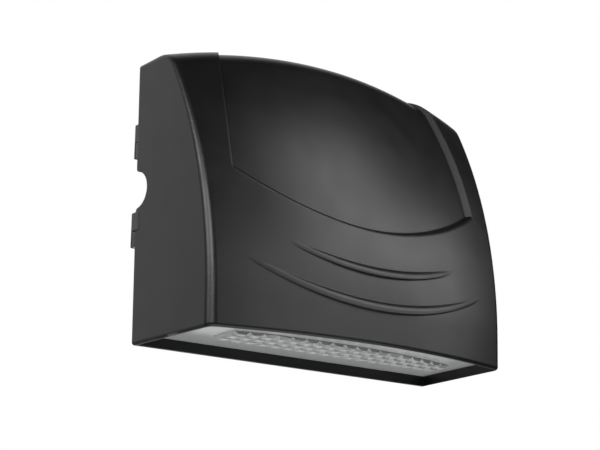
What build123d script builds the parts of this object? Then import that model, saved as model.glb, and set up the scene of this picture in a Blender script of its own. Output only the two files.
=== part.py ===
# Outdoor wall light: a cast hood with a prismatic lens in its underside, hinged on a wall box.
# Sizes are in millimetres. The wall is the plane Y = 0, the front faces -Y and +Z is up.
# The origin is the middle of the wall-screw pattern, on the wall.

import os
from math import radians, sqrt, tan

from build123d import *
from OCP.BRepFilletAPI import BRepFilletAPI_MakeFillet

os.makedirs("parts", exist_ok=True)

# Hood: heights are measured from the rim, the lowest edge
housing_width = 305.0
side_depth = 106.4
side_draft = 2.5
side_height = 237.2
front_bow = 22.8
profile_radius = 423.0
profile_start = 25.0
top_crown = 21.0
top_slope = 1.1
top_widen = 2.9
top_round = 31.0
edge_round = 9.5
top_edge_round = 3.5
wall = 3.0
rear_gap = 9.5
mount_height = 128.8

# Recessed front panel
panel_depth = 6.0
panel_drop = 0.5
panel_slope = 0.70
panel_tilt = 24.0
panel_lower_half = 125.3
panel_upper_half = 112.8
panel_corner_height = 133.9
panel_middle_height = 95.2
panel_top_rise = 4.0
panel_lip_round = 4.0
panel_foot_round = 1.5
rim_round = 2.5

# Crescent ribs on the lower front
rib_depth = 2.6
rib_crest_round = 6.0
upper_rib_half = 84.5
upper_rib_top_height = 63.1
upper_rib_foot_height = 55.8
upper_rib_end_top = 77.0
upper_rib_end_foot = 72.4
lower_rib_half = 124.0
lower_rib_top_height = 35.0
lower_rib_foot_height = 26.8
lower_rib_end_top = 62.4
lower_rib_end_foot = 58.2

# Light engine in the underside
lens_recess = 8.6
lens_thickness = 4.1
lens_clearance = 0.5
prism_pitch = 12.7
prism_depth = 3.0
prism_web = 0.4
prism_flat = 6.4
prism_columns = 18
prism_shift = 15.5
field_front_margin = 47.0
field_rear_margin = 33.0
lens_gasket_thickness = 1.2
ledge_width = 5.0
ledge_thickness = 3.0
shelf_height = 31.0
shelf_thickness = 3.0
reflector_sheet = 1.0
reflector_flange = 4.5
reflector_run = 17.0
led_count = 5
led_size = 6.0
led_base = 1.2
led_dome_radius = 2.6
led_window_radius = 6.5
led_row_depth = 56.5
board_width = 44.0
board_end = 22.0
board_room = 6.0
board_thickness = 1.6
pad_thickness = 0.5
board_screw_radius = 1.5
board_screw_head_radius = 2.8
board_screw_head_height = 2.0
board_screw_row = 14.0
board_screw_grip = 6.0
boss_radius = 4.0
boss_height = 5.0

# Wall box
box_side_room = 24.5
box_top_room = 19.2
box_floor_room = 10.8
box_depth = 31.5
box_wall = 2.5
box_back = 3.0
box_corner = 8.0
wall_gasket_thickness = 2.5
wall_gasket_width = 12.0
box_gasket_thickness = 2.5
wall_screw_inset = 20.0
wall_screw_rise = 60.0
wall_screw_hole_radius = 3.2
wall_pad_radius = 7.0
junction_spacing = 86.0
junction_slot_length = 10.0
junction_slot_radius = 2.6
wire_entry_radius = 11.0
conduit_hole_radius = 10.3
conduit_stand = 14.0
conduit_boss_length = 14.0
conduit_boss_wall = 3.2
conduit_notch_radius = 15.6
notch_mouth_round = 3.2
ground_boss_radius = 5.0
ground_boss_height = 4.0
ground_x = 70.0
ground_z = -50.0
ground_screw_radius = 2.0
ground_screw_length = 6.0
ground_screw_head_radius = 4.0
ground_screw_head_height = 2.6

# Hinge
barrel_radius = 3.2
hinge_back = 4.9
knuckle_low = -34.0
hinge_pitch = 76.0
knuckle_height = 15.4
knuckle_root = 4.0
arm_height = 11.8
hinge_washer_thickness = 1.0
hinge_washer_play = 0.2
pin_radius = 1.6
pin_top = 1.2
pin_seat_clearance = 0.02
pin_running_clearance = 0.06

# Closing screws
closing_spacing = 100.0
closing_inset = 9.0
closing_radius = 3.0
closing_head_radius = 5.5
closing_head_height = 4.0
closing_socket_radius = 2.9
closing_socket_depth = 2.4
closing_washer_radius = 6.6
closing_washer_thickness = 1.2
closing_clearance = 0.4
closing_slot_clearance = 0.7
ear_width = 15.0
ear_height = 14.0
ear_clearance = 2.2
ear_floor = 3.0
screw_end_clearance = 1.0
screw_clearance = 0.05

# Gear plate and what it carries
seal_gap = 0.3
gear_sheet = 1.5
gear_side_room = 10.5
gear_floor_room = 3.8
gear_top_room = 13.2
gear_screw_inset_x = 5.5
gear_screw_inset_z = 11.5
gear_screw_radius = 2.0
gear_screw_length = 14.0
gear_screw_head_radius = 4.0
gear_screw_head_height = 2.6
post_width = 12.0
post_length = 24.0
driver_length = 150.0
driver_height = 58.0
driver_depth = 32.0
driver_low = 2.0
driver_sheet = 1.2
driver_foot = 12.0
driver_fold_gap = 0.2
driver_screw_radius = 2.0
driver_screw_length = 6.0
driver_screw_head_radius = 3.8
driver_screw_head_height = 2.4
standoff_height = 4.4
standoff_radius = 2.5
driver_board_margin_x = 7.0
driver_board_margin_z = 4.0
terminal_length = 50.0
terminal_depth = 18.0
terminal_height = 20.0
terminal_top = -42.0
terminal_pitch = 13.0
terminal_well_radius = 3.0
terminal_well_depth = 8.0
terminal_screw_height = 4.0
terminal_wire_radius = 2.2
terminal_hold_x = 20.5
terminal_hold_radius = 1.75
terminal_hold_head_radius = 3.2
terminal_hold_head_height = 2.4
terminal_hold_sink = 3.0
terminal_hold_past = 2.2
input_lead_radius = 3.5
input_lead_stand = 7.3
input_lead_height = -20.0
input_lead_front = 16.2
input_lead_bend = 5.4
input_lead_end = 6.0
led_lead_radius = 2.5
led_lead_inset = 6.0
led_lead_bend = 16.0
led_lead_end_bend = 4.0
led_lead_end = 6.0
lead_clearance = 0.1
grommet_flange = 1.5
grommet_lip = 2.0
grommet_wall = 2.9
lead_grommet_wall = 2.3
connector_length = 12.0
connector_width = 8.0
connector_height = 6.2
connector_gap = 6.5
connector_socket = 3.5
connector_room = 2.0

# Cutting shapes run this far past the hood
past = 60.0

# Derived places
rim_z = -mount_height
rear_y = -rear_gap
half_rear = housing_width / 2
draft = tan(radians(side_draft))
flare = top_widen / side_height
half_front = half_rear - side_depth * draft
bow_radius = (half_front ** 2 + front_bow ** 2) / (2 * front_bow)
bow_y = rear_y - side_depth - front_bow + bow_radius
reach = side_depth + front_bow + past

lens_low = rim_z + lens_recess
lens_top = lens_low + lens_thickness
ledge_low = lens_top + lens_gasket_thickness
ledge_top = ledge_low + ledge_thickness
shelf_low = rim_z + shelf_height
shelf_top = shelf_low + shelf_thickness
pad_low = shelf_low - pad_thickness
board_low = pad_low - board_thickness
tray_low = board_low - reflector_sheet
led_y = rear_y - led_row_depth
skirt = wall + ledge_width - reflector_sheet
board_half = half_front - skirt - reflector_run - board_room
led_pitch = 2 * (board_half - board_end) / (led_count - 1)
led_lead_x = -board_half + led_lead_inset
led_xs = [led_pitch * (i - (led_count - 1) / 2) for i in range(led_count)]

box_half = half_rear - box_side_room
box_high = rim_z + side_height - box_top_room
box_low = shelf_top + box_floor_room
box_middle = (box_high + box_low) / 2
box_height = box_high - box_low
box_front_y = -box_depth
floor_y = -wall_gasket_thickness - box_back
wall_screw_x = box_half - wall_screw_inset
conduit_y = -conduit_stand

hinge_y = rear_y + hinge_back
hinge_x = barrel_radius - half_rear - flare * (mount_height + knuckle_low + hinge_pitch / 2)
knuckle_gap = hinge_washer_thickness + hinge_washer_play
knuckle_zs = [knuckle_low, knuckle_low + hinge_pitch]

closing_y = rear_y - closing_inset
closing_zs = {"upper": closing_spacing / 2, "lower": -closing_spacing / 2}

gear_rear_y = box_front_y - box_gasket_thickness - seal_gap
gear_front_y = gear_rear_y - gear_sheet
gear_half = half_rear - gear_side_room
gear_low = shelf_top + gear_floor_room
gear_high = rim_z + side_height - gear_top_room
gear_screw_x = gear_half - gear_screw_inset_x
gear_screw_zs = [gear_low + gear_screw_inset_z, gear_high - gear_screw_inset_z]
gear_screws = [(x, z) for x in (-gear_screw_x, gear_screw_x) for z in gear_screw_zs]

driver_high = driver_low + driver_height
driver_half = driver_length / 2
driver_front_y = gear_front_y - driver_depth
driver_floor_y = gear_front_y - driver_sheet
driver_middle = (driver_low + driver_high) / 2
driver_screw_xs = [-driver_half - driver_foot / 2, driver_half + driver_foot / 2]
terminal_low = terminal_top - terminal_height
terminal_rear_y = gear_rear_y + terminal_depth
terminal_middle = (terminal_top + terminal_low) / 2
terminal_xs = [-terminal_pitch, 0.0, terminal_pitch]
input_lead_rear_y = gear_rear_y + input_lead_stand
input_lead_front_y = gear_front_y - input_lead_front
led_lead_y = input_lead_front_y
connector_low = board_low - connector_height
connector_x = led_lead_x + connector_gap
led_lead_low = board_low - connector_height / 2
board_screws = [
    (-led_pitch / 2, led_y + board_screw_row),
    (led_pitch / 2, led_y + board_screw_row),
    (-led_pitch * 1.5, led_y - board_screw_row),
    (led_pitch * 1.5, led_y - board_screw_row),
    (-board_half + board_screw_head_radius * 2, led_y - board_screw_row),
    (board_half - board_screw_head_radius * 2, led_y - board_screw_row),
]


def front_y(x, height):
    """Y of the hood's front face at a side distance and a height above the rim."""
    rise = max(height - profile_start, 0.0)
    drop = profile_radius - sqrt(profile_radius ** 2 - rise ** 2)
    return bow_y - sqrt((bow_radius - drop) ** 2 - x ** 2)


def side_x(z, y):
    """X of the hood's right outer side."""
    return half_rear + flare * (z - rim_z) + draft * (y - rear_y)


def tapered_fillet(solid, edges, low_radius, high_radius):
    """Rounds the chains that edges lie in; the radius changes evenly from the low to the high end."""
    maker = BRepFilletAPI_MakeFillet(solid.wrapped)
    for edge in edges:
        if maker.Contour(edge.wrapped) == 0:
            maker.Add(edge.wrapped)
    for chain in range(1, maker.NbContours() + 1):
        lengths = [Edge(maker.Edge(chain, i + 1)).length for i in range(maker.NbEdges(chain))]
        climbs = Vertex(maker.FirstVertex(chain)).Z < Vertex(maker.LastVertex(chain)).Z
        start, end = (low_radius, high_radius) if climbs else (high_radius, low_radius)
        run = 0.0
        for i, length in enumerate(lengths):
            near = start + (end - start) * run / sum(lengths)
            run += length
            far = start + (end - start) * run / sum(lengths)
            maker.SetRadius(near, far, chain, i + 1)
    maker.Build()
    return Part(maker.Shape())


def hood_form(inset, rear, low):
    """Solid hood, drawn in by an inset, from a rear plane and a lowest level."""
    ceiling = rim_z + side_height + 2 * top_crown
    with BuildPart() as form:
        for level in (low, ceiling):
            half = half_rear - inset + flare * (level - rim_z)
            with BuildSketch(Plane.XY.offset(level)):
                with BuildLine():
                    Polyline(
                        (-half - (rear - rear_y) * draft, rear),
                        (half + (rear - rear_y) * draft, rear),
                        (half - reach * draft, rear_y - reach),
                        (-half + reach * draft, rear_y - reach),
                        close=True,
                    )
                make_face()
        loft(ruled=True)
        top_plane = Plane(
            origin=(0, rear_y, rim_z + side_height - inset),
            x_dir=(1, 0, 0),
            z_dir=Vector(0, -1, 0).rotate(Axis.X, -top_slope),
        )
        span = half_rear + top_widen
        with BuildSketch(top_plane.offset(-past)):
            with BuildLine():
                top = ThreePointArc((-span, 0), (0, top_crown), (span, 0))
                Polyline(top @ 1, (span, -2 * side_height), (-span, -2 * side_height), top @ 0)
            make_face()
        extrude(amount=reach + 2 * past, mode=Mode.INTERSECT)
        with BuildSketch(Plane(origin=(0, bow_y, 0), x_dir=(0, 1, 0), z_dir=(1, 0, 0))):
            start_z = rim_z + profile_start
            arc_radius = profile_radius - inset
            arc_middle = bow_radius - profile_radius
            rise = side_height + 2 * top_crown - profile_start
            with BuildLine():
                foot = Line((bow_radius - inset, rim_z), (bow_radius - inset, start_z))
                curve = ThreePointArc(
                    foot @ 1,
                    (arc_middle + sqrt(arc_radius ** 2 - rise ** 2 / 4), start_z + rise / 2),
                    (arc_middle + sqrt(arc_radius ** 2 - rise ** 2), start_z + rise),
                )
                back = bow_radius - reach - past
                Polyline(curve @ 1, (back, start_z + rise), (back, rim_z), foot @ 0)
            make_face()
        revolve(axis=Axis((0, bow_y, 0), (0, 0, 1)), mode=Mode.INTERSECT)
        ridge = form.edges().filter_by(
            lambda e: e.center().Z > rim_z + side_height - 2 * top_crown
            and e.center().Y < rear_y - side_depth / 4
            and abs(e.center().X) < half_front / 4
        )
        fillet(ridge, top_round - inset)
        corners = form.edges().filter_by(
            lambda e: abs(e.center().X) > half_front - inset - 2 * edge_round
            and e.center().Z > low + 2 * wall
            and e.center().Y < rear - 2 * wall
        )
        thinnest = wall / 3
    low_radius = max(edge_round - inset, thinnest)
    return tapered_fillet(form.part, corners, low_radius, max(top_edge_round - inset, thinnest))


def panel_cutter(grow):
    """Bevelled plug that leaves the front panel's outline in the hood."""
    panel_upper_height = side_height + panel_top_rise
    middle = (panel_middle_height + panel_upper_height) / 2
    plane = Plane(
        origin=(0, front_y(0, middle), rim_z + middle),
        x_dir=(1, 0, 0),
        z_dir=Vector(0, -1, 0).rotate(Axis.X, -panel_tilt),
    )

    def lip(x, height):
        return plane.to_local_coords(Vector(x, front_y(x, height), rim_z + height))

    def bottom_lip(share):
        rise = panel_corner_height - panel_middle_height
        return lip(panel_lower_half * share, panel_middle_height + rise * share ** 2)

    def inward(first, second):
        along = second - first
        return Vector(-along.Y, along.X).normalized()

    upper = lip(panel_upper_half, panel_upper_height)
    marks = []
    for share in (0.0, 0.5, 1.0):
        way = inward(bottom_lip(share - 0.01), bottom_lip(share + 0.01))
        marks.append((bottom_lip(share), way))
    corner, low_way = marks[-1]
    side_way = inward(corner, upper)
    marks[-1] = (corner, (low_way + side_way) / (1 + low_way.dot(side_way)))
    marks.append((upper, side_way))

    def outline(depth):
        points = []
        for mark, way in marks:
            shift = panel_slope * (depth + mark.Z) - grow
            points.append((mark.X + way.X * shift, mark.Y + way.Y * shift))
        low0, low1, low2, top = points
        beyond = past / (top[1] - low2[1])
        high = (top[0] + (top[0] - low2[0]) * beyond, top[1] + (top[1] - low2[1]) * beyond)
        with BuildSketch(plane.offset(-depth)) as sketch:
            with BuildLine():
                Spline((-low2[0], low2[1]), (-low1[0], low1[1]), low0, low1, low2)
                Polyline(low2, high, (-high[0], high[1]), (-low2[0], low2[1]))
            make_face()
        return sketch.sketch

    rear_top = plane.to_local_coords(Vector(half_rear, rear_y, rim_z + side_height))
    near = outline(min(-mark.Z for mark, way in marks) - past / 2)
    deep = outline(panel_depth - rear_top.Z)
    with BuildPart() as cutter:
        add(near)
        add(deep)
        loft(ruled=True)
    return cutter.part


def crescent(half, top_height, foot_height, end_top, end_foot):
    """Rib with a sloping ledge on top, proudest in its middle, that runs out at each end."""
    crown_y = front_y(0, (top_height + foot_height) / 2) - rib_depth
    back = front_y(half, (end_top + end_foot) / 2) - crown_y
    radius = (half ** 2 + back ** 2) / (2 * back)
    axis_y = crown_y + radius
    top_y = front_y(0, top_height)
    drop = front_y(half, end_top) - top_y
    low_z = rim_z + foot_height - 2 * drop - wall
    high_z = rim_z + end_top + wall
    with BuildPart() as rib:
        with BuildSketch(Plane.XZ.offset(-top_y)):
            with BuildLine():
                end_z = rim_z + end_top - drop
                ledge = ThreePointArc((-half, end_z), (0, rim_z + top_height), (half, end_z))
                Polyline(ledge @ 1, (half, low_z), (-half, low_z), ledge @ 0)
            make_face()
        slant = Vector(0, -1, -1)
        extrude(amount=(drop + wall) * sqrt(2), dir=-slant)
        extrude(rib.faces().sort_by(Axis.Y)[0], amount=2 * wall * sqrt(2), dir=slant)
        with BuildSketch(Plane(origin=(0, axis_y, 0), x_dir=(0, 1, 0), z_dir=(1, 0, 0))):
            with BuildLine():
                Polyline((0, rim_z), (radius, rim_z), (radius, high_z), (0, high_z), close=True)
            make_face()
        revolve(axis=Axis((0, axis_y, 0), (0, 0, 1)), mode=Mode.INTERSECT)
        fillet(rib.edges().filter_by(GeomType.BSPLINE), rib_crest_round)
        with BuildSketch(Plane.XZ.offset(2 * wall - crown_y)):
            with BuildLine():
                end_z = rim_z + end_foot
                foot = ThreePointArc((-half, end_z), (0, rim_z + foot_height), (half, end_z))
                Polyline(foot @ 1, (half, high_z), (-half, high_z), foot @ 0)
            make_face()
        extrude(amount=back + 4 * wall, dir=(0, 1, 0), mode=Mode.INTERSECT)
    return rib.part


def plan(inset, level):
    """The hood's outline at the rim, drawn in by an inset, as a face at a level."""
    side = half_rear - inset
    turn = side + draft * (bow_y - rear_y)
    radius = bow_radius - inset
    square = 1 + draft ** 2
    step = (turn * draft + sqrt((turn * draft) ** 2 - square * (turn ** 2 - radius ** 2))) / square
    corner_x = turn - draft * step
    corner_y = bow_y - step
    rear_x = side - draft * inset
    with BuildSketch(Plane.XY.offset(level)) as face:
        with BuildLine():
            Polyline(
                (-corner_x, corner_y),
                (-rear_x, rear_y - inset),
                (rear_x, rear_y - inset),
                (corner_x, corner_y),
            )
            ThreePointArc((corner_x, corner_y), (0, bow_y - radius), (-corner_x, corner_y))
        make_face()
        fillet(face.vertices().group_by(Axis.Y)[0], max(edge_round - inset, wall / 2))
    return face.sketch


def block(x, y, z, mode=Mode.ADD):
    """Box between pairs of limits."""
    with Locations((sum(x) / 2, sum(y) / 2, sum(z) / 2)):
        Box(abs(x[1] - x[0]), abs(y[1] - y[0]), abs(z[1] - z[0]), mode=mode)


def rod(start, end, radius, mode=Mode.ADD):
    """Cylinder between two points."""
    way = Vector(*end) - Vector(*start)
    with Locations(Plane(origin=start, z_dir=way)):
        Cylinder(radius, way.length, align=(Align.CENTER, Align.CENTER, Align.MIN), mode=mode)


def screw(seat, way, radius, length, head_radius, head_height):
    """Pan-head screw with a crossed recess, its head seated at a point."""
    seat = Vector(*seat)
    way = Vector(*way)
    crown = seat - way * head_height
    rod(seat, seat + way * length, radius)
    rod(seat, crown, head_radius)
    for turn in (0, 90):
        with Locations(Plane(origin=crown, z_dir=way)):
            Box(head_radius, head_radius / 4, head_height, rotation=(0, 0, turn), mode=Mode.SUBTRACT)


# Housing: the cast hood
outer = hood_form(0.0, rear_y, rim_z)
recess = panel_cutter(0.0) - Pos(0, panel_depth, -panel_drop) * outer
inner = hood_form(wall, rear_y + past / 5, shelf_top)
panel_back = panel_cutter(wall) - Pos(0, panel_depth, -panel_drop) * inner
upper_rib = crescent(
    upper_rib_half, upper_rib_top_height, upper_rib_foot_height, upper_rib_end_top, upper_rib_end_foot
)
lower_rib = crescent(
    lower_rib_half, lower_rib_top_height, lower_rib_foot_height, lower_rib_end_top, lower_rib_end_foot
)
cavity = inner - panel_back

with BuildPart() as front:
    add(outer)
    add(recess, mode=Mode.SUBTRACT)
    for round_place, radius in ((0, panel_lip_round), (-1, panel_foot_round)):
        lower_end = front.edges().filter_by(
            lambda e: abs(e.center().X) < wall
            and abs(e.center().Z - rim_z - panel_middle_height) < 2 * panel_depth
        )
        fillet(lower_end.sort_by(Axis.Y)[round_place], radius)
    rim = front.edges().filter_by(
        lambda e: abs(e.center().Z - rim_z) < wall / 2 and e.center().Y < rear_y - wall
    )
    fillet(rim, rim_round)

with BuildPart() as housing:
    add(front.part)
    add(upper_rib)
    add(lower_rib)
    add(cavity, mode=Mode.SUBTRACT)
    # Light compartment: lens recess, ledge and tray space
    extrude(plan(wall, rim_z), amount=ledge_low - rim_z, mode=Mode.SUBTRACT)
    extrude(plan(wall + ledge_width, ledge_low), amount=ledge_thickness, mode=Mode.SUBTRACT)
    extrude(plan(wall, ledge_top), amount=shelf_low - ledge_top, mode=Mode.SUBTRACT)
    # Notch for surface conduit in the left wall's rear edge
    with BuildSketch(Plane.YZ.offset(-half_rear - top_widen - wall)):
        mouth_z = sqrt(conduit_notch_radius ** 2 + 2 * conduit_notch_radius * notch_mouth_round)
        turn_y = rear_y - notch_mouth_round
        meet = conduit_notch_radius / (conduit_notch_radius + notch_mouth_round)
        meet_y = rear_y - notch_mouth_round * meet
        to_notch = Vector(notch_mouth_round, -mouth_z).normalized()
        half_way = (Vector(1, 0) + to_notch).normalized() * notch_mouth_round
        with BuildLine():
            upper_mouth = ThreePointArc(
                (rear_y, mouth_z), (turn_y + half_way.X, mouth_z + half_way.Y), (meet_y, mouth_z * meet)
            )
            round_end = ThreePointArc(
                upper_mouth @ 1, (rear_y - conduit_notch_radius, 0), (meet_y, -mouth_z * meet)
            )
            lower_mouth = ThreePointArc(
                round_end @ 1, (turn_y + half_way.X, -mouth_z - half_way.Y), (rear_y, -mouth_z)
            )
            Polyline(
                lower_mouth @ 1, (rear_y + wall, -mouth_z), (rear_y + wall, mouth_z), upper_mouth @ 0
            )
        make_face()
    extrude(amount=top_widen + 5 * wall, mode=Mode.SUBTRACT)
    # Slots, open to the rear, for the closing screws
    slot_half = closing_radius + closing_slot_clearance
    for z in closing_zs.values():
        slot_x = (half_rear - 3 * wall, half_rear + top_widen + wall)
        rod((slot_x[0], closing_y, z), (slot_x[1], closing_y, z), slot_half, mode=Mode.SUBTRACT)
        block(slot_x, (closing_y, rear_y + wall), (z - slot_half, z + slot_half), mode=Mode.SUBTRACT)
    # Hinge knuckles
    for z in knuckle_zs:
        rod((hinge_x, hinge_y, z), (hinge_x, hinge_y, z + knuckle_height), barrel_radius)
        knuckle_x = (hinge_x - barrel_radius, hinge_x + barrel_radius)
        block(knuckle_x, (rear_y - knuckle_root, hinge_y), (z, z + knuckle_height))
        bore = pin_radius + pin_running_clearance
        rod(
            (hinge_x, hinge_y, z - pin_top),
            (hinge_x, hinge_y, z + knuckle_height + pin_top),
            bore,
            mode=Mode.SUBTRACT,
        )
    # Posts for the gear plate
    for x, z in gear_screws:
        side = 1 if x > 0 else -1
        post_end = side_x(z, gear_front_y - post_length) - wall / 2
        post_x = (x - side * post_width / 2, side * post_end)
        block(
            post_x, (gear_front_y - post_length, gear_front_y), (z - post_width / 2, z + post_width / 2)
        )
        depth = gear_screw_length - gear_sheet + screw_end_clearance
        rod(
            (x, gear_front_y, z),
            (x, gear_front_y - depth, z),
            gear_screw_radius + screw_clearance,
            mode=Mode.SUBTRACT,
        )
    # Bosses for the board's screws and the hole for the LED lead
    for x, y in board_screws:
        rod((x, y, shelf_top), (x, y, shelf_top + boss_height), boss_radius)
        rod(
            (x, y, shelf_low),
            (x, y, shelf_low + board_screw_grip + screw_end_clearance),
            board_screw_radius + screw_clearance,
            mode=Mode.SUBTRACT,
        )
    lead_hole_radius = led_lead_radius + lead_clearance + lead_grommet_wall
    rod(
        (led_lead_x, led_lead_y, shelf_low),
        (led_lead_x, led_lead_y, shelf_top),
        lead_hole_radius,
        mode=Mode.SUBTRACT,
    )
housing.part.label = "housing"
export_step(housing.part, "parts/housing.step")

# Lens: a plate with a field of small blunt pyramids that stand out of its underside
lens_inset = wall + lens_clearance
prism_low = lens_low - prism_depth
field_half = prism_columns * prism_pitch / 2
field_rear = rear_y - lens_inset - field_rear_margin
field_front = bow_y - bow_radius + lens_inset + field_front_margin
field_rows = int((field_rear - field_front) / prism_pitch) + 1
groove_half = (prism_pitch - prism_flat) / 2
groove = ((-groove_half, 0), (groove_half, 0), (0, prism_depth - prism_web))
with BuildPart() as field:
    extrude(Pos(0, field_front_margin, 0) * plan(lens_inset, prism_low), amount=prism_depth)
    block(
        (prism_shift - field_half, prism_shift + field_half),
        (field_front - wall, field_rear),
        (prism_low, lens_low),
        mode=Mode.INTERSECT,
    )
with BuildPart() as columns:
    with BuildSketch(Plane.XZ.offset(-field_rear)):
        with Locations(
            *[(prism_shift - field_half + prism_pitch * i, prism_low) for i in range(prism_columns + 1)]
        ):
            Polygon(*groove, align=None)
    extrude(amount=field_rear - field_front + wall)
with BuildPart() as rows:
    with BuildSketch(Plane.YZ.offset(-half_rear)):
        with Locations(*[(field_rear - prism_pitch * i, prism_low) for i in range(field_rows)]):
            Polygon(*groove, align=None)
    extrude(amount=housing_width)

with BuildPart() as lens:
    extrude(plan(lens_inset, lens_low), amount=lens_thickness)
    add(field.part)
    add(columns.part, mode=Mode.SUBTRACT)
    add(rows.part, mode=Mode.SUBTRACT)
lens.part.label = "lens"
export_step(lens.part, "parts/lens.step")

with BuildPart() as lens_gasket:
    extrude(plan(lens_inset, lens_top), amount=lens_gasket_thickness)
    extrude(plan(wall + ledge_width, lens_top), amount=lens_gasket_thickness, mode=Mode.SUBTRACT)
lens_gasket.part.label = "lens_gasket"
export_step(lens_gasket.part, "parts/lens_gasket.step")

# Reflector: a white tray that stands on the ledge, with windows for the LEDs
connector_far = connector_x + connector_length
with BuildPart() as tray_space:
    add(plan(skirt + reflector_sheet, ledge_top))
    add(plan(skirt + reflector_sheet + reflector_run, tray_low))
    loft(ruled=True)

with BuildPart() as reflector:
    add(plan(skirt, ledge_top))
    add(plan(skirt + reflector_run, board_low))
    loft(ruled=True)
    extrude(plan(skirt + reflector_sheet - reflector_flange, ledge_top), amount=reflector_sheet)
    add(tray_space.part, mode=Mode.SUBTRACT)
    for x in led_xs:
        rod((x, led_y, tray_low), (x, led_y, board_low), led_window_radius, mode=Mode.SUBTRACT)
    for x, y in board_screws:
        rod((x, y, tray_low), (x, y, board_low), board_screw_radius + screw_clearance, mode=Mode.SUBTRACT)
    window_half = connector_width / 2 + connector_room
    block(
        (led_lead_x - led_lead_radius - connector_room, connector_far + connector_room),
        (led_lead_y - window_half, led_lead_y + window_half),
        (tray_low, board_low),
        mode=Mode.SUBTRACT,
    )
reflector.part.label = "reflector"
export_step(reflector.part, "parts/reflector.step")

with BuildPart() as thermal_pad:
    block(
        (-board_half, board_half),
        (led_y - board_width / 2, led_y + board_width / 2),
        (pad_low, shelf_low),
    )
    for x, y in board_screws:
        rod((x, y, pad_low), (x, y, shelf_low), board_screw_radius + screw_clearance, mode=Mode.SUBTRACT)
    rod(
        (led_lead_x, led_lead_y, pad_low),
        (led_lead_x, led_lead_y, shelf_low),
        lead_hole_radius,
        mode=Mode.SUBTRACT,
    )
thermal_pad.part.label = "thermal_pad"
export_step(thermal_pad.part, "parts/thermal_pad.step")

with BuildPart() as led_board:
    block(
        (-board_half, board_half),
        (led_y - board_width / 2, led_y + board_width / 2),
        (board_low, pad_low),
    )
    for x, y in board_screws:
        rod((x, y, board_low), (x, y, pad_low), board_screw_radius + screw_clearance, mode=Mode.SUBTRACT)
    rod(
        (led_lead_x, led_lead_y, board_low),
        (led_lead_x, led_lead_y, pad_low),
        lead_hole_radius,
        mode=Mode.SUBTRACT,
    )
led_board.part.label = "led_board"
export_step(led_board.part, "parts/led_board.step")

with BuildPart() as leds:
    for x in led_xs:
        block(
            (x - led_size / 2, x + led_size / 2),
            (led_y - led_size / 2, led_y + led_size / 2),
            (board_low - led_base, board_low),
        )
        with Locations((x, led_y, board_low - led_base)):
            dome_align = (Align.CENTER, Align.CENTER, Align.MAX)
            Sphere(led_dome_radius, arc_size1=-90, arc_size2=0, align=dome_align)
leds.part.label = "leds"
export_step(leds.part, "parts/leds.step")

with BuildPart() as led_connector:
    block(
        (connector_x, connector_far),
        (led_lead_y - connector_width / 2, led_lead_y + connector_width / 2),
        (connector_low, board_low),
    )
    rod(
        (connector_x, led_lead_y, led_lead_low),
        (connector_x + connector_socket, led_lead_y, led_lead_low),
        led_lead_radius + lead_clearance,
        mode=Mode.SUBTRACT,
    )
led_connector.part.label = "led_connector"
export_step(led_connector.part, "parts/led_connector.step")

with BuildPart() as led_board_screws:
    length = reflector_sheet + board_thickness + pad_thickness + board_screw_grip
    for x, y in board_screws:
        screw(
            (x, y, tray_low),
            (0, 0, 1),
            board_screw_radius,
            length,
            board_screw_head_radius,
            board_screw_head_height,
        )
led_board_screws.part.label = "led_board_screws"
export_step(led_board_screws.part, "parts/led_board_screws.step")

# Gear plate: closes the hood's rear space and carries the driver and the terminals
input_hole_radius = input_lead_radius + lead_clearance + grommet_wall
terminal_holds = [-terminal_hold_x, terminal_hold_x]
with BuildPart() as gear_plate:
    block((-gear_half, gear_half), (gear_front_y, gear_rear_y), (gear_low, gear_high))
    for x, z in gear_screws:
        rod(
            (x, gear_front_y, z),
            (x, gear_rear_y, z),
            gear_screw_radius + screw_clearance,
            mode=Mode.SUBTRACT,
        )
    for x in driver_screw_xs:
        hole = driver_screw_radius + screw_clearance
        rod((x, gear_front_y, driver_middle), (x, gear_rear_y, driver_middle), hole, mode=Mode.SUBTRACT)
    for x in terminal_holds:
        hole = terminal_hold_radius + screw_clearance
        rod(
            (x, gear_front_y, terminal_middle),
            (x, gear_rear_y, terminal_middle),
            hole,
            mode=Mode.SUBTRACT,
        )
    rod(
        (0, gear_front_y, input_lead_height),
        (0, gear_rear_y, input_lead_height),
        input_hole_radius,
        mode=Mode.SUBTRACT,
    )
gear_plate.part.label = "gear_plate"
export_step(gear_plate.part, "parts/gear_plate.step")

with BuildPart() as gear_plate_screws:
    for x, z in gear_screws:
        screw(
            (x, gear_rear_y, z),
            (0, -1, 0),
            gear_screw_radius,
            gear_screw_length,
            gear_screw_head_radius,
            gear_screw_head_height,
        )
gear_plate_screws.part.label = "gear_plate_screws"
export_step(gear_plate_screws.part, "parts/gear_plate_screws.step")

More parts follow.
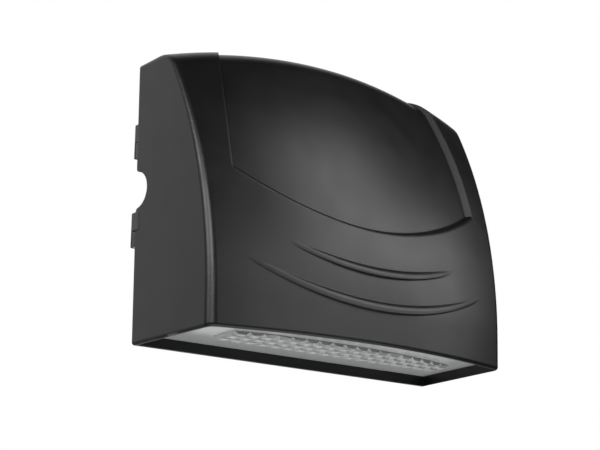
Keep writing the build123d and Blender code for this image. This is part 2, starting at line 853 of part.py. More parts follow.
# Driver: a folded case on the front of the gear plate
board_rear_y = driver_floor_y - standoff_height
board_front_y = board_rear_y - board_thickness
wall_front_y = driver_front_y + driver_sheet + driver_fold_gap
pcb_x = driver_half - driver_sheet - driver_board_margin_x
pcb_z = (
    driver_low + driver_sheet + driver_board_margin_z, driver_high - driver_sheet - driver_board_margin_z
)
with BuildPart() as driver_base:
    foot_end = driver_half + driver_foot
    block((-foot_end, foot_end), (driver_floor_y, gear_front_y), (driver_low, driver_high))
    for z in (driver_low, driver_high - driver_sheet):
        block((-driver_half, driver_half), (wall_front_y, driver_floor_y), (z, z + driver_sheet))
    for x in (-pcb_x + 2 * standoff_radius, pcb_x - 2 * standoff_radius):
        for z in (pcb_z[0] + 2 * standoff_radius, pcb_z[1] - 2 * standoff_radius):
            rod((x, driver_floor_y, z), (x, board_rear_y, z), standoff_radius)
    for x in driver_screw_xs:
        hole = driver_screw_radius + screw_clearance
        rod(
            (x, driver_floor_y, driver_middle), (x, gear_front_y, driver_middle), hole, mode=Mode.SUBTRACT
        )
    rod(
        (0, input_lead_front_y, driver_low),
        (0, input_lead_front_y, driver_low + driver_sheet),
        input_lead_radius + lead_clearance,
        mode=Mode.SUBTRACT,
    )
driver_base.part.label = "driver_base"
export_step(driver_base.part, "parts/driver_base.step")

with BuildPart() as driver_cover:
    block(
        (-driver_half, driver_half),
        (driver_front_y, driver_front_y + driver_sheet),
        (driver_low, driver_high),
    )
    end_z = (driver_low + driver_sheet + driver_fold_gap, driver_high - driver_sheet - driver_fold_gap)
    for x in (-driver_half, driver_half - driver_sheet):
        block((x, x + driver_sheet), (driver_front_y, driver_floor_y), end_z)
    rod(
        (-driver_half, led_lead_y, driver_middle),
        (-driver_half + driver_sheet, led_lead_y, driver_middle),
        led_lead_radius + lead_clearance,
        mode=Mode.SUBTRACT,
    )
driver_cover.part.label = "driver_cover"
export_step(driver_cover.part, "parts/driver_cover.step")

transformer_size = (34.0, 18.0, 28.0)
transformer_x = 34.0
capacitor_radius = 7.0
capacitor_height = 18.0
capacitor_xs = [-44.0, -26.0]
with BuildPart() as driver_board:
    block((-pcb_x, pcb_x), (board_front_y, board_rear_y), pcb_z)
    block(
        (transformer_x - transformer_size[0] / 2, transformer_x + transformer_size[0] / 2),
        (board_front_y - transformer_size[1], board_front_y),
        (driver_middle - transformer_size[2] / 2, driver_middle + transformer_size[2] / 2),
    )
    for x in capacitor_xs:
        z = pcb_z[1] - capacitor_radius
        rod((x, board_front_y, z), (x, board_front_y - capacitor_height, z), capacitor_radius)
driver_board.part.label = "driver_board"
export_step(driver_board.part, "parts/driver_board.step")

with BuildPart() as driver_screws:
    for x in driver_screw_xs:
        screw(
            (x, driver_floor_y, driver_middle),
            (0, 1, 0),
            driver_screw_radius,
            driver_screw_length,
            driver_screw_head_radius,
            driver_screw_head_height,
        )
driver_screws.part.label = "driver_screws"
export_step(driver_screws.part, "parts/driver_screws.step")

# Terminal block on the rear of the gear plate
well_floor_y = terminal_rear_y - terminal_well_depth
hold_seat_y = terminal_rear_y - terminal_hold_sink
with BuildPart() as terminal_block:
    terminal_half = terminal_length / 2
    block((-terminal_half, terminal_half), (gear_rear_y, terminal_rear_y), (terminal_low, terminal_top))
    for x in terminal_xs:
        rod(
            (x, terminal_rear_y, terminal_middle),
            (x, well_floor_y, terminal_middle),
            terminal_well_radius,
            mode=Mode.SUBTRACT,
        )
        wire_y = terminal_rear_y - terminal_well_depth + terminal_wire_radius
        rod(
            (x, wire_y, terminal_low),
            (x, wire_y, terminal_middle),
            terminal_wire_radius,
            mode=Mode.SUBTRACT,
        )
    for x in terminal_holds:
        rod(
            (x, terminal_rear_y, terminal_middle),
            (x, hold_seat_y, terminal_middle),
            terminal_hold_head_radius + screw_clearance,
            mode=Mode.SUBTRACT,
        )
        hole = terminal_hold_radius + screw_clearance
        rod(
            (x, hold_seat_y, terminal_middle), (x, gear_rear_y, terminal_middle), hole, mode=Mode.SUBTRACT
        )
    rod(
        (0, input_lead_rear_y, terminal_top - input_lead_end),
        (0, input_lead_rear_y, terminal_top),
        input_lead_radius + lead_clearance,
        mode=Mode.SUBTRACT,
    )
terminal_block.part.label = "terminal_block"
export_step(terminal_block.part, "parts/terminal_block.step")

with BuildPart() as terminal_screws:
    for x in terminal_xs:
        top_y = well_floor_y + terminal_screw_height
        rod(
            (x, well_floor_y, terminal_middle),
            (x, top_y, terminal_middle),
            terminal_well_radius - screw_clearance,
        )
        slot_width = terminal_well_radius / 3
        block(
            (x - terminal_well_radius, x + terminal_well_radius),
            (top_y - slot_width, top_y),
            (terminal_middle - slot_width / 2, terminal_middle + slot_width / 2),
            mode=Mode.SUBTRACT,
        )
terminal_screws.part.label = "terminal_screws"
export_step(terminal_screws.part, "parts/terminal_screws.step")

with BuildPart() as terminal_block_screws:
    for x in terminal_holds:
        screw(
            (x, hold_seat_y, terminal_middle),
            (0, -1, 0),
            terminal_hold_radius,
            terminal_depth - terminal_hold_sink + gear_sheet + terminal_hold_past,
            terminal_hold_head_radius,
            terminal_hold_head_height,
        )
terminal_block_screws.part.label = "terminal_block_screws"
export_step(terminal_block_screws.part, "parts/terminal_block_screws.step")

with BuildPart() as wire_grommet:
    lip = input_hole_radius + grommet_lip
    z = input_lead_height
    rod((0, gear_rear_y + grommet_flange, z), (0, gear_rear_y, z), lip)
    rod((0, gear_rear_y, z), (0, gear_front_y, z), input_hole_radius - screw_clearance)
    rod((0, gear_front_y, z), (0, gear_front_y - grommet_flange, z), lip)
    rod(
        (0, gear_rear_y + grommet_flange, z),
        (0, gear_front_y - grommet_flange, z),
        input_lead_radius + lead_clearance,
        mode=Mode.SUBTRACT,
    )
wire_grommet.part.label = "wire_grommet"
export_step(wire_grommet.part, "parts/wire_grommet.step")

with BuildPart() as lead_grommet:
    top = shelf_top + grommet_flange
    rod(
        (led_lead_x, led_lead_y, shelf_top), (led_lead_x, led_lead_y, top), lead_hole_radius + grommet_lip
    )
    rod(
        (led_lead_x, led_lead_y, shelf_low),
        (led_lead_x, led_lead_y, shelf_top),
        lead_hole_radius - screw_clearance,
    )
    rod(
        (led_lead_x, led_lead_y, shelf_low),
        (led_lead_x, led_lead_y, top),
        led_lead_radius + lead_clearance,
        mode=Mode.SUBTRACT,
    )
lead_grommet.part.label = "lead_grommet"
export_step(lead_grommet.part, "parts/lead_grommet.step")

# Inner leads: terminals to driver, and driver to LED board
with BuildPart() as driver_input_lead:
    with BuildLine() as input_route:
        FilletPolyline(
            (0, input_lead_rear_y, terminal_top - input_lead_end),
            (0, input_lead_rear_y, input_lead_height),
            (0, input_lead_front_y, input_lead_height),
            (0, input_lead_front_y, driver_low + input_lead_end),
            radius=[input_lead_bend, input_lead_bend],
        )
    with BuildSketch(Plane(origin=input_route.line @ 0, z_dir=input_route.line % 0)):
        Circle(input_lead_radius)
    sweep()
driver_input_lead.part.label = "driver_input_lead"
export_step(driver_input_lead.part, "parts/driver_input_lead.step")

with BuildPart() as led_lead:
    with BuildLine() as led_route:
        FilletPolyline(
            (-driver_half + led_lead_end, led_lead_y, driver_middle),
            (led_lead_x, led_lead_y, driver_middle),
            (led_lead_x, led_lead_y, led_lead_low),
            (connector_x + connector_socket, led_lead_y, led_lead_low),
            radius=[led_lead_bend, led_lead_end_bend],
        )
    with BuildSketch(Plane(origin=led_route.line @ 0, z_dir=led_route.line % 0)):
        Circle(led_lead_radius)
    sweep()
led_lead.part.label = "led_lead"
export_step(led_lead.part, "parts/led_lead.step")

# Wall box: a shallow cast pan screwed to the wall
wall_screws = [(x, z) for x in (-wall_screw_x, wall_screw_x) for z in (-wall_screw_rise, wall_screw_rise)]
with BuildPart() as wall_box:
    with BuildSketch(Plane.XZ.offset(wall_gasket_thickness)):
        with Locations((0, box_middle)):
            RectangleRounded(2 * box_half, box_height, box_corner)
    extrude(amount=box_depth - wall_gasket_thickness)
    with BuildSketch(Plane.XZ.offset(-floor_y)):
        with Locations((0, box_middle)):
            RectangleRounded(2 * (box_half - box_wall), box_height - 2 * box_wall, box_corner - box_wall)
    extrude(amount=box_depth + floor_y, mode=Mode.SUBTRACT)
    # Conduit boss in the left wall
    boss_half = conduit_hole_radius + conduit_boss_wall
    block(
        (-box_half, -box_half + conduit_boss_length),
        (conduit_y - boss_half, -wall_gasket_thickness),
        (-boss_half, boss_half),
    )
    rod(
        (-box_half, conduit_y, 0),
        (-box_half + conduit_boss_length, conduit_y, 0),
        conduit_hole_radius,
        mode=Mode.SUBTRACT,
    )
    # Pads that stand on the wall round the wall-screw holes
    with BuildSketch(Plane.XZ):
        with Locations(*wall_screws):
            Circle(wall_pad_radius)
    extrude(amount=wall_gasket_thickness)
    with BuildSketch(Plane.XZ):
        with Locations(*wall_screws):
            Circle(wall_screw_hole_radius)
    extrude(amount=-floor_y, mode=Mode.SUBTRACT)
    # Back: wire entry, junction-box slots and ground boss
    with BuildSketch(Plane.XZ.offset(wall_gasket_thickness)):
        Circle(wire_entry_radius)
        with Locations((-junction_spacing / 2, 0), (junction_spacing / 2, 0)):
            SlotOverall(junction_slot_length, 2 * junction_slot_radius)
    extrude(amount=box_back, mode=Mode.SUBTRACT)
    ground_seat_y = floor_y - ground_boss_height
    rod((ground_x, floor_y, ground_z), (ground_x, ground_seat_y, ground_z), ground_boss_radius)
    ground_hole = ground_screw_radius + screw_clearance
    rod(
        (ground_x, floor_y, ground_z),
        (ground_x, ground_seat_y, ground_z),
        ground_hole,
        mode=Mode.SUBTRACT,
    )
    ground_end_y = ground_seat_y + ground_screw_length
    rod(
        (ground_x, ground_seat_y, ground_z),
        (ground_x, ground_end_y, ground_z),
        ground_hole,
        mode=Mode.SUBTRACT,
    )
    # Hinge arms
    for z in knuckle_zs:
        arm_z = (z - knuckle_gap - arm_height, z - knuckle_gap)
        block(
            (hinge_x, -box_half + box_wall / 2),
            (hinge_y - barrel_radius, -wall_gasket_thickness),
            arm_z,
        )
        rod((hinge_x, hinge_y, arm_z[0]), (hinge_x, hinge_y, arm_z[1]), barrel_radius)
        bore = pin_radius + pin_seat_clearance
        rod((hinge_x, hinge_y, arm_z[0]), (hinge_x, hinge_y, arm_z[1]), bore, mode=Mode.SUBTRACT)
    # Ears for the closing screws
    for z in closing_zs.values():
        ear_end = side_x(z, closing_y - ear_width / 2) - wall - ear_clearance
        ear_y = (closing_y - ear_width / 2, closing_y + ear_width / 2)
        block((box_half - box_wall / 2, ear_end), ear_y, (z - ear_height / 2, z + ear_height / 2))
        hole = closing_radius + screw_clearance
        rod((box_half + ear_floor, closing_y, z), (ear_end, closing_y, z), hole, mode=Mode.SUBTRACT)
wall_box.part.label = "wall_box"
export_step(wall_box.part, "parts/wall_box.step")

with BuildPart() as wall_gasket:
    with BuildSketch(Plane.XZ):
        with Locations((0, box_middle)):
            RectangleRounded(2 * box_half, box_height, box_corner)
            RectangleRounded(
                2 * (box_half - wall_gasket_width),
                box_height - 2 * wall_gasket_width,
                box_corner / 2,
                mode=Mode.SUBTRACT,
            )
    extrude(amount=wall_gasket_thickness)
wall_gasket.part.label = "wall_gasket"
export_step(wall_gasket.part, "parts/wall_gasket.step")

with BuildPart() as box_gasket:
    with BuildSketch(Plane.XZ.offset(box_depth)):
        with Locations((0, box_middle)):
            RectangleRounded(2 * box_half, box_height, box_corner)
            RectangleRounded(
                2 * (box_half - box_wall),
                box_height - 2 * box_wall,
                box_corner - box_wall,
                mode=Mode.SUBTRACT,
            )
    extrude(amount=box_gasket_thickness)
box_gasket.part.label = "box_gasket"
export_step(box_gasket.part, "parts/box_gasket.step")

with BuildPart() as hinge_pins:
    for z in knuckle_zs:
        rod(
            (hinge_x, hinge_y, z - knuckle_gap - arm_height),
            (hinge_x, hinge_y, z + knuckle_height + pin_top),
            pin_radius,
        )
    chamfer(hinge_pins.edges().filter_by(GeomType.CIRCLE), pin_radius / 4)
hinge_pins.part.label = "hinge_pins"
export_step(hinge_pins.part, "parts/hinge_pins.step")

with BuildPart() as hinge_washers:
    for z in knuckle_zs:
        low = z - knuckle_gap
        rod((hinge_x, hinge_y, low), (hinge_x, hinge_y, low + hinge_washer_thickness), barrel_radius)
        bore = pin_radius + pin_running_clearance
        rod(
            (hinge_x, hinge_y, low),
            (hinge_x, hinge_y, low + hinge_washer_thickness),
            bore,
            mode=Mode.SUBTRACT,
        )
hinge_washers.part.label = "hinge_washers"
export_step(hinge_washers.part, "parts/hinge_washers.step")

with BuildPart() as ground_screw:
    screw(
        (ground_x, ground_seat_y, ground_z),
        (0, 1, 0),
        ground_screw_radius,
        ground_screw_length,
        ground_screw_head_radius,
        ground_screw_head_height,
    )
ground_screw.part.label = "ground_screw"
export_step(ground_screw.part, "parts/ground_screw.step")

# Closing screws: they pass the hood's right wall in its open slots and thread into the ears
closing_seats = {}
for name, z in closing_zs.items():
    closing_seats[name] = side_x(z + closing_washer_radius, rear_y) + closing_clearance

with BuildPart() as closing_screw_upper:
    z = closing_zs["upper"]
    seat = closing_seats["upper"] + closing_washer_thickness
    rod((box_half + ear_floor + screw_end_clearance, closing_y, z), (seat, closing_y, z), closing_radius)
    rod((seat, closing_y, z), (seat + closing_head_height, closing_y, z), closing_head_radius)
    with BuildSketch(Plane(origin=(seat + closing_head_height, closing_y, z), z_dir=(1, 0, 0))):
        RegularPolygon(closing_socket_radius, 6)
    extrude(amount=-closing_socket_depth, mode=Mode.SUBTRACT)
closing_screw_upper.part.label = "closing_screw_upper"
export_step(closing_screw_upper.part, "parts/closing_screw_upper.step")

with BuildPart() as closing_screw_lower:
    z = closing_zs["lower"]
    seat = closing_seats["lower"] + closing_washer_thickness
    rod((box_half + ear_floor + screw_end_clearance, closing_y, z), (seat, closing_y, z), closing_radius)
    rod((seat, closing_y, z), (seat + closing_head_height, closing_y, z), closing_head_radius)
    with BuildSketch(Plane(origin=(seat + closing_head_height, closing_y, z), z_dir=(1, 0, 0))):
        RegularPolygon(closing_socket_radius, 6)
    extrude(amount=-closing_socket_depth, mode=Mode.SUBTRACT)
closing_screw_lower.part.label = "closing_screw_lower"
export_step(closing_screw_lower.part, "parts/closing_screw_lower.step")

with BuildPart() as closing_washer_upper:
    z = closing_zs["upper"]
    seat = closing_seats["upper"]
    rod((seat, closing_y, z), (seat + closing_washer_thickness, closing_y, z), closing_washer_radius)
    hole = closing_radius + screw_clearance
    rod((seat, closing_y, z), (seat + closing_washer_thickness, closing_y, z), hole, mode=Mode.SUBTRACT)
closing_washer_upper.part.label = "closing_washer_upper"
export_step(closing_washer_upper.part, "parts/closing_washer_upper.step")

with BuildPart() as closing_washer_lower:
    z = closing_zs["lower"]
    seat = closing_seats["lower"]
    rod((seat, closing_y, z), (seat + closing_washer_thickness, closing_y, z), closing_washer_radius)
    hole = closing_radius + screw_clearance
    rod((seat, closing_y, z), (seat + closing_washer_thickness, closing_y, z), hole, mode=Mode.SUBTRACT)
closing_washer_lower.part.label = "closing_washer_lower"
export_step(closing_washer_lower.part, "parts/closing_washer_lower.step")
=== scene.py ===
import math

import bmesh
import bpy
from mathutils import Matrix, Vector

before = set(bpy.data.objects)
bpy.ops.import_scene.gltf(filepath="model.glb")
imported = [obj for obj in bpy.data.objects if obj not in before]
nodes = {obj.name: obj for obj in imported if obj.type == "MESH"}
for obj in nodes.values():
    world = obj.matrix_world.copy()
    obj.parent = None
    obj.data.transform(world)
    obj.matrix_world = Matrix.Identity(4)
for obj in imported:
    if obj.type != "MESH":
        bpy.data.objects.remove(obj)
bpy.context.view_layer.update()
scene = bpy.context.scene


# Node-tree helpers
def newMaterial(name):
    material = bpy.data.materials.new(name)
    material.use_nodes = True
    tree = material.node_tree
    shader = tree.nodes["Principled BSDF"]
    coords = tree.nodes.new("ShaderNodeTexCoord")
    return material, tree, shader, coords.outputs["Object"]


def noise(tree, vector, scale, detail=2.0, rough=0.5):
    node = tree.nodes.new("ShaderNodeTexNoise")
    node.inputs["Scale"].default_value = scale
    node.inputs["Detail"].default_value = detail
    node.inputs["Roughness"].default_value = rough
    tree.links.new(vector, node.inputs["Vector"])
    return node.outputs["Fac"]


def cellsOf(tree, vector, scale):
    node = tree.nodes.new("ShaderNodeTexVoronoi")
    node.inputs["Scale"].default_value = scale
    tree.links.new(vector, node.inputs["Vector"])
    return node


def spread(tree, value, low, high, fromLow=0.3, fromHigh=0.7):
    node = tree.nodes.new("ShaderNodeMapRange")
    node.inputs["From Min"].default_value = fromLow
    node.inputs["From Max"].default_value = fromHigh
    node.inputs["To Min"].default_value = low
    node.inputs["To Max"].default_value = high
    tree.links.new(value, node.inputs["Value"])
    return node.outputs["Result"]


def blendTones(tree, value, first, second):
    node = tree.nodes.new("ShaderNodeMix")
    node.data_type = "RGBA"
    tree.links.new(value, node.inputs["Factor"])
    # Inputs 6 and 7 and output 2 are the colour sockets
    for socket, tone in ((node.inputs[6], first), (node.inputs[7], second)):
        if isinstance(tone, bpy.types.NodeSocket):
            tree.links.new(tone, socket)
        else:
            socket.default_value = (*tone, 1.0)
    return node.outputs[2]


def axisOf(tree, vector, axis):
    node = tree.nodes.new("ShaderNodeSeparateXYZ")
    tree.links.new(vector, node.inputs["Vector"])
    return node.outputs[axis]


def sumOf(tree, first, second, weight):
    node = tree.nodes.new("ShaderNodeMath")
    node.operation = "MULTIPLY_ADD"
    node.inputs[1].default_value = weight
    tree.links.new(second, node.inputs[0])
    tree.links.new(first, node.inputs[2])
    return node.outputs[0]


def combine(tree, operation, first, second):
    node = tree.nodes.new("ShaderNodeMath")
    node.operation = operation
    tree.links.new(first, node.inputs[0])
    tree.links.new(second, node.inputs[1])
    return node.outputs[0]


def bump(tree, shader, height, strength, distance):
    node = tree.nodes.new("ShaderNodeBump")
    node.inputs["Strength"].default_value = strength
    node.inputs["Distance"].default_value = distance
    tree.links.new(height, node.inputs["Height"])
    tree.links.new(node.outputs["Normal"], shader.inputs["Normal"])
    return node


# Rounded paint edges: the normal turns over a small radius
def soften(tree, bumpNode, radius, samples=6):
    node = tree.nodes.new("ShaderNodeBevel")
    node.samples = samples
    node.inputs["Radius"].default_value = radius
    tree.links.new(node.outputs["Normal"], bumpNode.inputs["Normal"])


def dress(material, *names):
    for name in names:
        slots = nodes[name].data.materials
        slots.clear()
        slots.append(material)


# A coat: two close tones, uneven gloss and a fine grain or cells
coatMix = {
    "cloudDetail": 3.0,
    "grainRough": 0.6,
    "patchScale": 2.5,
    "patchGrain": 0.35,
    "patchRange": (0.4, 1.0),
}


def coat(name, s, *names):
    material, tree, shader, place = newMaterial(name)
    cloud = noise(tree, place, s["cloud"], coatMix["cloudDetail"])
    tone = blendTones(tree, spread(tree, cloud, 0.0, 1.0), s["dark"], s["light"])
    tree.links.new(tone, shader.inputs["Base Color"])
    grain = noise(tree, place, s["grain"], rough=coatMix["grainRough"])
    patches = noise(tree, place, s["cloud"] * coatMix["patchScale"])
    patches = sumOf(tree, patches, grain, coatMix["patchGrain"])
    rough = spread(tree, patches, *s["rough"], *coatMix["patchRange"])
    tree.links.new(rough, shader.inputs["Roughness"])
    relief = grain
    if "cells" in s:
        relief = cellsOf(tree, place, s["cells"]).outputs["Distance"]
    bumpNode = bump(tree, shader, relief, s["bump"], s["depth"])
    if "edge" in s:
        soften(tree, bumpNode, s["edge"])
    shader.inputs["Metallic"].default_value = s.get("metal", 0.0)
    shader.inputs["Specular IOR Level"].default_value = s.get("gloss", 0.5)
    dress(material, *names)


# Camera at the photograph's place
shot = {
    "azimuth": -35.736,
    "elevation": -15.054,
    "roll": 0.84,
    "distance": 1.4236,
    "target": (0.0, -0.0695, -0.0088),
    "aside": (0.02549, 0.00676),
    "lens": 101.36,
    "sensor": 36.0,
}
azimuth = math.radians(shot["azimuth"])
elevation = math.radians(shot["elevation"])
roll = math.radians(shot["roll"])
back = Vector((
    math.sin(azimuth) * math.cos(elevation),
    -math.cos(azimuth) * math.cos(elevation),
    math.sin(elevation),
))
flatRight = (-back).cross(Vector((0, 0, 1))).normalized()
flatUp = flatRight.cross(-back)
right = flatRight * math.cos(roll) + flatUp * math.sin(roll)
up = flatUp * math.cos(roll) - flatRight * math.sin(roll)
spot = Vector(shot["target"]) + back * shot["distance"]
spot = spot - right * shot["aside"][0] - up * shot["aside"][1]
cameraData = bpy.data.cameras.new("photoCamera")
cameraData.lens = shot["lens"]
cameraData.sensor_width = shot["sensor"]
cameraData.sensor_fit = "HORIZONTAL"
camera = bpy.data.objects.new("photoCamera", cameraData)
camera.matrix_world = Matrix((
    (right.x, up.x, back.x, spot.x),
    (right.y, up.y, back.y, spot.y),
    (right.z, up.z, back.z, spot.z),
    (0, 0, 0, 1),
))
scene.collection.objects.link(camera)
scene.camera = camera
print("camera set")

# Hood paint: dark satin powder coat
hoodPaint = {
    "dark": (0.0045, 0.0045, 0.0048),
    "light": (0.0065, 0.0065, 0.0068),
    "cloud": 18.0,
    "grain": 1500.0,
    "rough": (0.33, 0.40),
    "bump": 0.10,
    "depth": 0.00015,
    "edge": 0.0012,
}
coat("hoodPaint", hoodPaint, "housing")

# Wall box: the same coat, a little rougher
boxPaint = {
    "dark": (0.010, 0.010, 0.0105),
    "light": (0.015, 0.015, 0.0155),
    "cloud": 25.0,
    "grain": 1200.0,
    "rough": (0.44, 0.55),
    "bump": 0.16,
    "depth": 0.0002,
}
coat("boxPaint", boxPaint, "wall_box")

# Clear moulded lens: stud slopes facing the front get a darker base colour, a painted shade on
# those facets
lensClear = {
    "face": (0.93, 0.95, 0.95),
    "shadedSlope": (0.46, 0.47, 0.47),
    "frontShade": (-0.60, -0.20),
    "haze": 60.0,
    "rough": (0.12, 0.20),
    "ripple": 220.0,
    "rippleDetail": 1.0,
    "bump": 0.05,
    "depth": 0.0003,
    "ior": 1.49,
    "clear": 0.45,
}
material, tree, shader, place = newMaterial("lensClear")
turn = tree.nodes.new("ShaderNodeTexCoord").outputs["Normal"]
# Painted shade: darker tone where the stud's normal points towards the front (-Y), lighter on
# the flats
frontShade = spread(tree, axisOf(tree, turn, "Y"), 0.0, 1.0, *lensClear["frontShade"])
tone = blendTones(tree, frontShade, lensClear["shadedSlope"], lensClear["face"])
tree.links.new(tone, shader.inputs["Base Color"])
haze = noise(tree, place, lensClear["haze"])
tree.links.new(spread(tree, haze, *lensClear["rough"]), shader.inputs["Roughness"])
shader.inputs["IOR"].default_value = lensClear["ior"]
shader.inputs["Transmission Weight"].default_value = lensClear["clear"]
ripple = noise(tree, place, lensClear["ripple"], lensClear["rippleDetail"])
bump(tree, shader, ripple, lensClear["bump"], lensClear["depth"])
dress(material, "lens")

# White inner parts
whiteTray = {
    "dark": (0.66, 0.66, 0.65),
    "light": (0.72, 0.72, 0.71),
    "cloud": 20.0,
    "grain": 1400.0,
    "rough": (0.35, 0.5),
    "bump": 0.06,
    "depth": 0.0001,
}
coat("whiteTray", whiteTray, "reflector")

driverCase = {
    "dark": (0.60, 0.60, 0.585),
    "light": (0.66, 0.66, 0.645),
    "cloud": 30.0,
    "grain": 900.0,
    "rough": (0.38, 0.52),
    "bump": 0.12,
    "depth": 0.00015,
}
coat("driverCase", driverCase, "driver_base", "driver_cover")

whiteBoard = {
    "dark": (0.62, 0.64, 0.61),
    "light": (0.70, 0.71, 0.68),
    "cloud": 45.0,
    "grain": 1800.0,
    "rough": (0.30, 0.42),
    "bump": 0.05,
    "depth": 0.0001,
}
coat("whiteBoard", whiteBoard, "led_board")

whitePlastic = {
    "dark": (0.62, 0.60, 0.55),
    "light": (0.68, 0.66, 0.61),
    "cloud": 120.0,
    "grain": 2500.0,
    "rough": (0.35, 0.48),
    "bump": 0.05,
    "depth": 0.00008,
}
coat("whitePlastic", whitePlastic, "led_connector")

# Black nylon
nylon = {
    "dark": (0.012, 0.012, 0.012),
    "light": (0.020, 0.020, 0.020),
    "cloud": 150.0,
    "grain": 2500.0,
    "rough": (0.38, 0.5),
    "bump": 0.06,
    "depth": 0.00008,
}
coat("nylon", nylon, "hinge_washers")

# Seals and rubber
silicone = {
    "dark": (0.50, 0.50, 0.48),
    "light": (0.58, 0.58, 0.56),
    "cloud": 40.0,
    "grain": 1600.0,
    "rough": (0.48, 0.62),
    "bump": 0.08,
    "depth": 0.0001,
}
coat("silicone", silicone, "lens_gasket", "box_gasket")

foam = {
    "dark": (0.010, 0.010, 0.010),
    "light": (0.020, 0.020, 0.020),
    "cloud": 60.0,
    "grain": 1100.0,
    "rough": (0.85, 0.98),
    "cells": 1300.0,
    "bump": 0.7,
    "depth": 0.0004,
    "gloss": 0.25,
}
coat("foam", foam, "wall_gasket")

blackRubber = {
    "dark": (0.010, 0.010, 0.010),
    "light": (0.016, 0.016, 0.016),
    "cloud": 90.0,
    "grain": 1500.0,
    "rough": (0.55, 0.72),
    "bump": 0.12,
    "depth": 0.0001,
    "gloss": 0.4,
}
coat("blackRubber", blackRubber, "wire_grommet", "lead_grommet")

leadSheath = {
    "dark": (0.014, 0.014, 0.014),
    "light": (0.022, 0.022, 0.022),
    "cloud": 70.0,
    "grain": 1400.0,
    "rough": (0.38, 0.52),
    "bump": 0.10,
    "depth": 0.0001,
}
coat("leadSheath", leadSheath, "driver_input_lead", "led_lead")

# Terminal block and thermal pad
darkPlastic = {
    "dark": (0.016, 0.016, 0.018),
    "light": (0.026, 0.026, 0.028),
    "cloud": 90.0,
    "grain": 2200.0,
    "rough": (0.40, 0.55),
    "bump": 0.12,
    "depth": 0.0001,
}
coat("darkPlastic", darkPlastic, "terminal_block")

thermalPad = {
    "dark": (0.26, 0.29, 0.33),
    "light": (0.32, 0.35, 0.39),
    "cloud": 60.0,
    "grain": 1500.0,
    "rough": (0.6, 0.75),
    "bump": 0.1,
    "depth": 0.0001,
}
coat("thermalPad", thermalPad, "thermal_pad")

# Metals
zincSteel = {
    "dark": (0.42, 0.42, 0.40),
    "light": (0.58, 0.58, 0.56),
    "cloud": 220.0,
    "grain": 2500.0,
    "rough": (0.22, 0.38),
    "bump": 0.06,
    "depth": 0.00006,
    "metal": 1.0,
}
coat(
    "zincSteel",
    zincSteel,
    "led_board_screws",
    "gear_plate_screws",
    "driver_screws",
    "terminal_block_screws",
)

stainless = {
    "dark": (0.40, 0.40, 0.39),
    "light": (0.52, 0.52, 0.51),
    "cloud": 200.0,
    "grain": 2200.0,
    "rough": (0.20, 0.34),
    "bump": 0.05,
    "depth": 0.00006,
    "metal": 1.0,
}
coat(
    "stainless",
    stainless,
    "hinge_pins",
    "closing_screw_upper",
    "closing_screw_lower",
    "closing_washer_upper",
    "closing_washer_lower",
)

brassScrew = {
    "dark": (0.42, 0.27, 0.08),
    "light": (0.58, 0.39, 0.13),
    "cloud": 260.0,
    "grain": 2500.0,
    "rough": (0.20, 0.34),
    "bump": 0.05,
    "depth": 0.00006,
    "metal": 1.0,
}
coat("brassScrew", brassScrew, "terminal_screws")

groundGreen = {
    "dark": (0.010, 0.13, 0.035),
    "light": (0.018, 0.19, 0.055),
    "cloud": 260.0,
    "grain": 2500.0,
    "rough": (0.26, 0.40),
    "bump": 0.06,
    "depth": 0.00006,
    "metal": 0.55,
}
coat("groundGreen", groundGreen, "ground_screw")

# Galvanised sheet: crystals of the zinc, each with its own tone
zincSheet = {
    "dark": (0.33, 0.34, 0.345),
    "light": (0.50, 0.51, 0.515),
    "crystal": 95.0,
    "rough": (0.28, 0.46),
    "grain": 900.0,
    "bump": 0.06,
    "depth": 0.0001,
    "metal": 1.0,
}
material, tree, shader, place = newMaterial("zincSheet")
crystals = cellsOf(tree, place, zincSheet["crystal"])
level = axisOf(tree, crystals.outputs["Color"], "X")
tone = blendTones(tree, level, zincSheet["dark"], zincSheet["light"])
tree.links.new(tone, shader.inputs["Base Color"])
tree.links.new(spread(tree, level, *zincSheet["rough"], 0.0, 1.0), shader.inputs["Roughness"])
shader.inputs["Metallic"].default_value = zincSheet["metal"]
grain = noise(tree, place, zincSheet["grain"])
bump(tree, shader, grain, zincSheet["bump"], zincSheet["depth"])
dress(material, "gear_plate")

# Driver board: green mask with traces, dark parts standing on it
greenBoard = {
    "mask": (0.010, 0.075, 0.028),
    "trace": (0.018, 0.115, 0.045),
    "field": 160.0,
    "traceWidth": 0.03,
    "part": (0.018, 0.018, 0.020),
    "face": -0.0430,
    "step": 0.0003,
    "cloud": 80.0,
    "rough": (0.28, 0.42),
    "grain": 1500.0,
    "bump": 0.05,
    "depth": 0.0001,
}
material, tree, shader, place = newMaterial("greenBoard")
traces = tree.nodes.new("ShaderNodeTexBrick")
traces.inputs["Scale"].default_value = greenBoard["field"]
traces.inputs["Mortar Size"].default_value = greenBoard["traceWidth"]
traces.inputs["Color1"].default_value = (*greenBoard["mask"], 1.0)
traces.inputs["Color2"].default_value = (*greenBoard["mask"], 1.0)
traces.inputs["Mortar"].default_value = (*greenBoard["trace"], 1.0)
upright = tree.nodes.new("ShaderNodeMapping")
upright.inputs["Rotation"].default_value = (math.radians(90), 0.0, 0.0)
tree.links.new(place, upright.inputs["Vector"])
tree.links.new(upright.outputs["Vector"], traces.inputs["Vector"])
depth = axisOf(tree, place, "Y")
partEdge = greenBoard["face"] - greenBoard["step"]
standing = spread(tree, depth, 1.0, 0.0, partEdge, greenBoard["face"])
tone = blendTones(tree, standing, traces.outputs["Color"], greenBoard["part"])
tree.links.new(tone, shader.inputs["Base Color"])
cloud = noise(tree, place, greenBoard["cloud"])
tree.links.new(spread(tree, cloud, *greenBoard["rough"]), shader.inputs["Roughness"])
grain = noise(tree, place, greenBoard["grain"])
bump(tree, shader, grain, greenBoard["bump"], greenBoard["depth"])
dress(material, "driver_board")

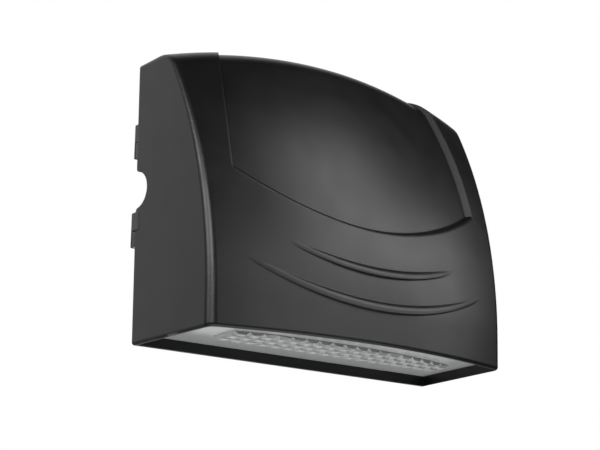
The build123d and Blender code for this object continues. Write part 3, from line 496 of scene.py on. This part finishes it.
# LEDs: pale ceramic base, yellow phosphor under the dome
ledPhosphor = {
    "base": (0.70, 0.70, 0.68),
    "dome": (0.80, 0.62, 0.16),
    "seat": -0.1011,
    "step": 0.0002,
    "cloud": 700.0,
    "rough": (0.08, 0.2),
    "coat": 0.6,
}
material, tree, shader, place = newMaterial("ledPhosphor")
height = axisOf(tree, place, "Z")
domeEdge = ledPhosphor["seat"] - ledPhosphor["step"]
share = spread(tree, height, 1.0, 0.0, domeEdge, ledPhosphor["seat"])
tone = blendTones(tree, share, ledPhosphor["base"], ledPhosphor["dome"])
tree.links.new(tone, shader.inputs["Base Color"])
cloud = noise(tree, place, ledPhosphor["cloud"])
tree.links.new(spread(tree, cloud, *ledPhosphor["rough"]), shader.inputs["Roughness"])
shader.inputs["Coat Weight"].default_value = ledPhosphor["coat"]
dress(material, "leds")
print("materials set")

# Floor: a pale round sheet, far enough down for views from below
floor = {
    "radius": 2.4,
    "segments": 96,
    "centre": (0.0, -0.06, -1.5),
    "dark": (0.78, 0.78, 0.78),
    "light": (0.82, 0.82, 0.82),
    "cloud": 3.0,
    "rough": 0.7,
}
floorMesh = bpy.data.meshes.new("floor")
sheet = bmesh.new()
bmesh.ops.create_circle(sheet, cap_ends=True, radius=floor["radius"], segments=floor["segments"])
bmesh.ops.translate(sheet, verts=sheet.verts, vec=floor["centre"])
sheet.to_mesh(floorMesh)
sheet.free()
floorSheet = bpy.data.objects.new("floor", floorMesh)
scene.collection.objects.link(floorSheet)
material, tree, shader, place = newMaterial("floorPaint")
cloud = noise(tree, place, floor["cloud"])
tone = blendTones(tree, cloud, floor["dark"], floor["light"])
tree.links.new(tone, shader.inputs["Base Color"])
shader.inputs["Roughness"].default_value = floor["rough"]
floorMesh.materials.append(material)

# Lights: soft boxes aimed at the object's middle, out of the camera's sight
softBoxes = {
    "keyLight": {"wide": 0.74, "tall": 0.95, "watts": 7.8, "place": (0.82, -1.21, 1.03)},
    "rightLight": {"wide": 0.68, "tall": 0.68, "watts": 4.6, "place": (1.33, -0.97, 0.52)},
    "frontLight": {"wide": 1.3, "tall": 0.8, "watts": 6.0, "place": (0.50, -1.63, 0.38)},
    "leftLight": {"wide": 0.6, "tall": 0.6, "watts": 10.5, "place": (-1.22, -0.94, 0.55)},
    "sideLight": {"wide": 0.6, "tall": 0.6, "watts": 8.8, "place": (-1.50, -0.06, 0.55)},
    "underLight": {"wide": 1.0, "tall": 0.8, "watts": 2.6, "place": (0.0, -0.20, -0.70)},
}
aimPoint = Vector((0.0, -0.06, 0.0))
for name, s in softBoxes.items():
    lampData = bpy.data.lights.new(name, "AREA")
    lampData.shape = "RECTANGLE"
    lampData.size = s["wide"]
    lampData.size_y = s["tall"]
    lampData.energy = s["watts"]
    lamp = bpy.data.objects.new(name, lampData)
    lamp.location = s["place"]
    lamp.visible_camera = False
    aim = aimPoint - Vector(s["place"])
    lamp.rotation_euler = aim.to_track_quat("-Z", "Y").to_euler()
    scene.collection.objects.link(lamp)

# World: a dim room with a pale wall behind; gloss and glass see that wall, the camera sees white
room = {
    "dim": (0.014, 0.014, 0.014),
    "white": (1.0, 1.0, 1.0),
    "toWall": (0.08, 0.95, 0.37),
    "far": 0.61,
    "near": 0.82,
}
world = bpy.data.worlds.new("studio")
scene.world = world
world.use_nodes = True
tree = world.node_tree
ambient = tree.nodes["Background"]
ambient.inputs["Color"].default_value = (*room["dim"], 1.0)
plain = tree.nodes.new("ShaderNodeBackground")
plain.inputs["Color"].default_value = (*room["white"], 1.0)
coords = tree.nodes.new("ShaderNodeTexCoord")
facing = tree.nodes.new("ShaderNodeVectorMath")
facing.operation = "DOT_PRODUCT"
facing.inputs[1].default_value = room["toWall"]
tree.links.new(coords.outputs["Generated"], facing.inputs[0])
share = spread(tree, facing.outputs["Value"], 0.0, 1.0, room["far"], room["near"])
rays = tree.nodes.new("ShaderNodeLightPath").outputs
bounced = combine(tree, "MAXIMUM", rays["Is Glossy Ray"], rays["Is Transmission Ray"])
onWall = combine(tree, "MULTIPLY", bounced, share)
seen = combine(tree, "MAXIMUM", rays["Is Camera Ray"], onWall)
choice = tree.nodes.new("ShaderNodeMixShader")
tree.links.new(seen, choice.inputs["Fac"])
tree.links.new(ambient.outputs["Background"], choice.inputs[1])
tree.links.new(plain.outputs["Background"], choice.inputs[2])
tree.links.new(choice.outputs["Shader"], tree.nodes["World Output"].inputs["Surface"])
scene.view_settings.view_transform = "Standard"
print("stage set")
